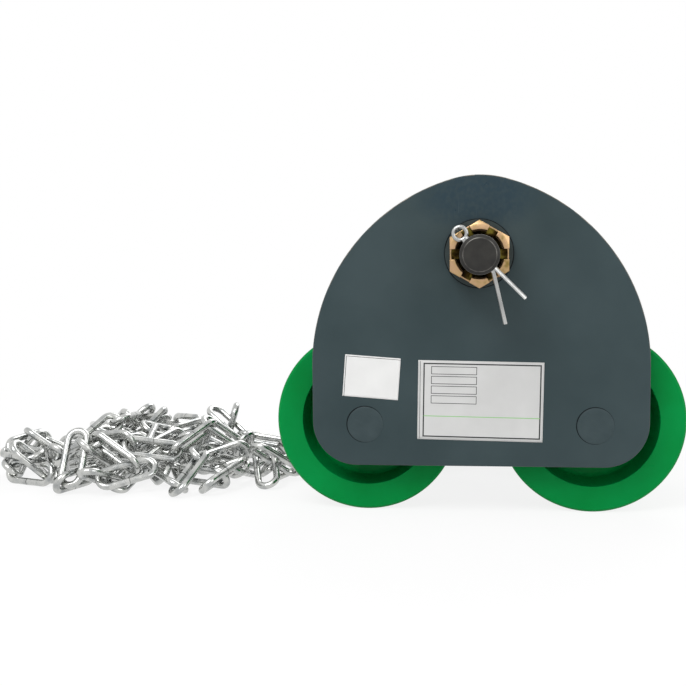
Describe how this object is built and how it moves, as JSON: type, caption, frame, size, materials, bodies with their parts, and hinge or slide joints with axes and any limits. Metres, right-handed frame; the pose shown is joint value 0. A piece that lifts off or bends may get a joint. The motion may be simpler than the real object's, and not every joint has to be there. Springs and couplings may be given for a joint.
{
  "type": "geared beam trolley",
  "caption": "Beam trolley with flanged wheels between two side plates, a load bolt with a swinging hanger, and a hand chain wheel that drives geared wheels.",
  "frame": {"origin": "middle of the running plane, where the beam flange meets the wheel treads, halfway between the side plates and between the axles", "axes": "+X along the beam, +Y from the plain side plate to the geared one, +Z towards the load bolt, up as the trolley is set down on its wheels"},
  "size_m": [0.4987, 0.3401, 0.2196],
  "materials": {
    "plate_paint": "satin",
    "wheel_paint": "gloss",
    "yellow_zinc": "satin",
    "black_steel": "matte",
    "bright_zinc": "polished",
    "bush_bronze": "satin",
    "plain_steel": "satin"
  },
  "bodies": {
    "drive": {"drive_pinion": "plain_steel", "drive_shaft": "plain_steel", "pinion_key": "plain_steel", "pinion_ring": "plain_steel", "hand_chain_wheel": "black_steel", "chain_wheel_key": "plain_steel", "chain_wheel_washer": "plain_steel", "chain_wheel_nut": "plain_steel"},
    "hanger": {"hanger_plate": "black_steel"},
    "front_left_wheel_set": {"front_left_wheel": "wheel_paint", "front_left_bearing_outer_ring": "plain_steel", "front_left_bearing_balls": "plain_steel", "front_left_hub_ring": "plain_steel"},
    "front_right_wheel_set": {"front_right_wheel": "wheel_paint", "front_right_bearing_outer_ring": "plain_steel", "front_right_bearing_balls": "plain_steel", "front_right_hub_ring": "plain_steel"},
    "rear_left_wheel_set": {"rear_left_wheel": "wheel_paint", "rear_left_bearing_outer_ring": "plain_steel", "rear_left_bearing_balls": "plain_steel", "rear_left_hub_ring": "plain_steel"},
    "rear_right_wheel_set": {"rear_right_wheel": "wheel_paint", "rear_right_bearing_outer_ring": "plain_steel", "rear_right_bearing_balls": "plain_steel", "rear_right_hub_ring": "plain_steel"},
    "frame": {"axle_rings": "plain_steel", "bearing_inner_rings": "plain_steel", "chain_guide": "plate_paint", "chain_guide_screws": "plain_steel", "front_bolt_washer": "black_steel", "front_left_axle": "plain_steel", "front_right_axle": "plain_steel", "front_side_plate": "plate_paint", "front_slotted_nut": "yellow_zinc", "front_spacers": "plain_steel", "front_split_pin": "plain_steel", "hand_chain_1": "bright_zinc", "hand_chain_2": "bright_zinc", "hand_chain_3": "bright_zinc", "load_bolt": "black_steel", "rear_bolt_washer": "black_steel", "rear_left_axle": "plain_steel", "rear_right_axle": "plain_steel", "rear_side_plate": "plate_paint", "rear_slotted_nut": "yellow_zinc", "rear_spacers": "plain_steel", "rear_split_pin": "plain_steel", "shaft_bushes": "bush_bronze", "shaft_tube": "plate_paint"}
  },
  "joints": [
    {"name": "front_left_roll", "type": "hinge", "parent": "frame", "child": "front_left_wheel_set", "pos_m": [-0.0735, -0.0375, -0.048], "axis": [0, 1, 0], "continuous": true},
    {"name": "front_right_roll", "type": "hinge", "parent": "frame", "child": "front_right_wheel_set", "pos_m": [0.0735, -0.0375, -0.048], "axis": [0, 1, 0], "continuous": true},
    {"name": "rear_left_roll", "type": "hinge", "parent": "frame", "child": "rear_left_wheel_set", "pos_m": [-0.0735, 0.0375, -0.048], "axis": [0, 1, 0], "continuous": true},
    {"name": "rear_right_roll", "type": "hinge", "parent": "frame", "child": "rear_right_wheel_set", "pos_m": [0.0735, 0.0375, -0.048], "axis": [0, 1, 0], "continuous": true},
    {"name": "drive_turn", "type": "hinge", "parent": "frame", "child": "drive", "pos_m": [0, 0.1, -0.01641], "axis": [0, 1, 0], "continuous": true},
    {"name": "hanger_swing", "type": "hinge", "parent": "frame", "child": "hanger", "pos_m": [0, 0, 0.062], "axis": [0, 1, 0], "range_deg": [-180, 180]}
  ],
  "couplings": [
    {"joint": "rear_left_roll", "follows": "drive_turn", "ratio": -0.42857},
    {"joint": "rear_right_roll", "follows": "drive_turn", "ratio": -0.42857}
  ]
}
